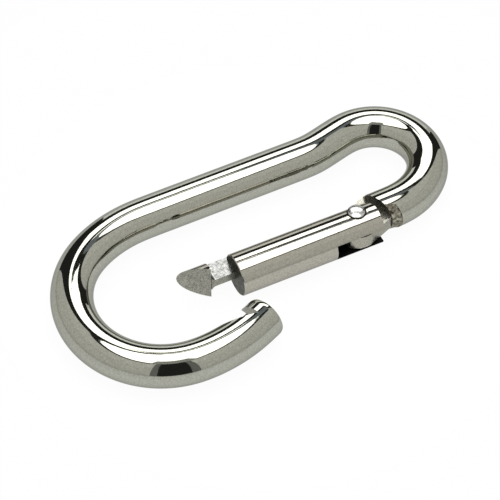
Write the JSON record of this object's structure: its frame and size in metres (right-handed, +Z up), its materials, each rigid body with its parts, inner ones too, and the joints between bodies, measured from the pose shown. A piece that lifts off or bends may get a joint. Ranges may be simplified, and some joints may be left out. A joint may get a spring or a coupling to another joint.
{
  "type": "spring snap hook",
  "caption": "Pear-shaped spring hook bent from round bar, with a riveted, sprung gate that swings inwards and latches behind the nose's prongs.",
  "frame": {"origin": "under the middle of the hook's box, on the surface that it lies flat on", "axes": "+X along the spine from the wide bow to the small eye, +Y from the gate side to the spine side, +Z up out of the hook's plane"},
  "size_m": [0.1164, 0.0616, 0.0123],
  "materials": {
    "polished_wire": "polished, nickel bright, with milled cuts left grey and grainy",
    "gate_bar": "polished bar, with milled ends left grey and grainy",
    "rivet_steel": "bright, domed by hammering",
    "inner_steel": "turned",
    "spring_wire": "drawn"
  },
  "bodies": {
    "hook": {"hook_body": "polished_wire"},
    "gate": {"gate": "gate_bar", "pivot_rivet": "rivet_steel", "closing_spring": "spring_wire"},
    "plunger": {"spring_plunger": "inner_steel"}
  },
  "joints": [
    {"name": "gate_swing", "type": "hinge", "parent": "hook", "child": "gate", "pos_m": [0.02445, -0.00444, 0.00616], "axis": [0, 0, 1], "range_deg": [-18.9, 24], "stiffness_Nm_per_rad": 0.2, "springref_deg": 91.67},
    {"name": "plunger_slide", "type": "slide", "parent": "gate", "child": "plunger", "axis": [-1, 0.007, 0], "range_m": [-0.00047, 0.00036], "deforming": ["closing_spring"]}
  ],
  "couplings": [
    {"joint": "plunger_slide", "follows": "gate_swing", "m_per_rad": -0.001}
  ]
}
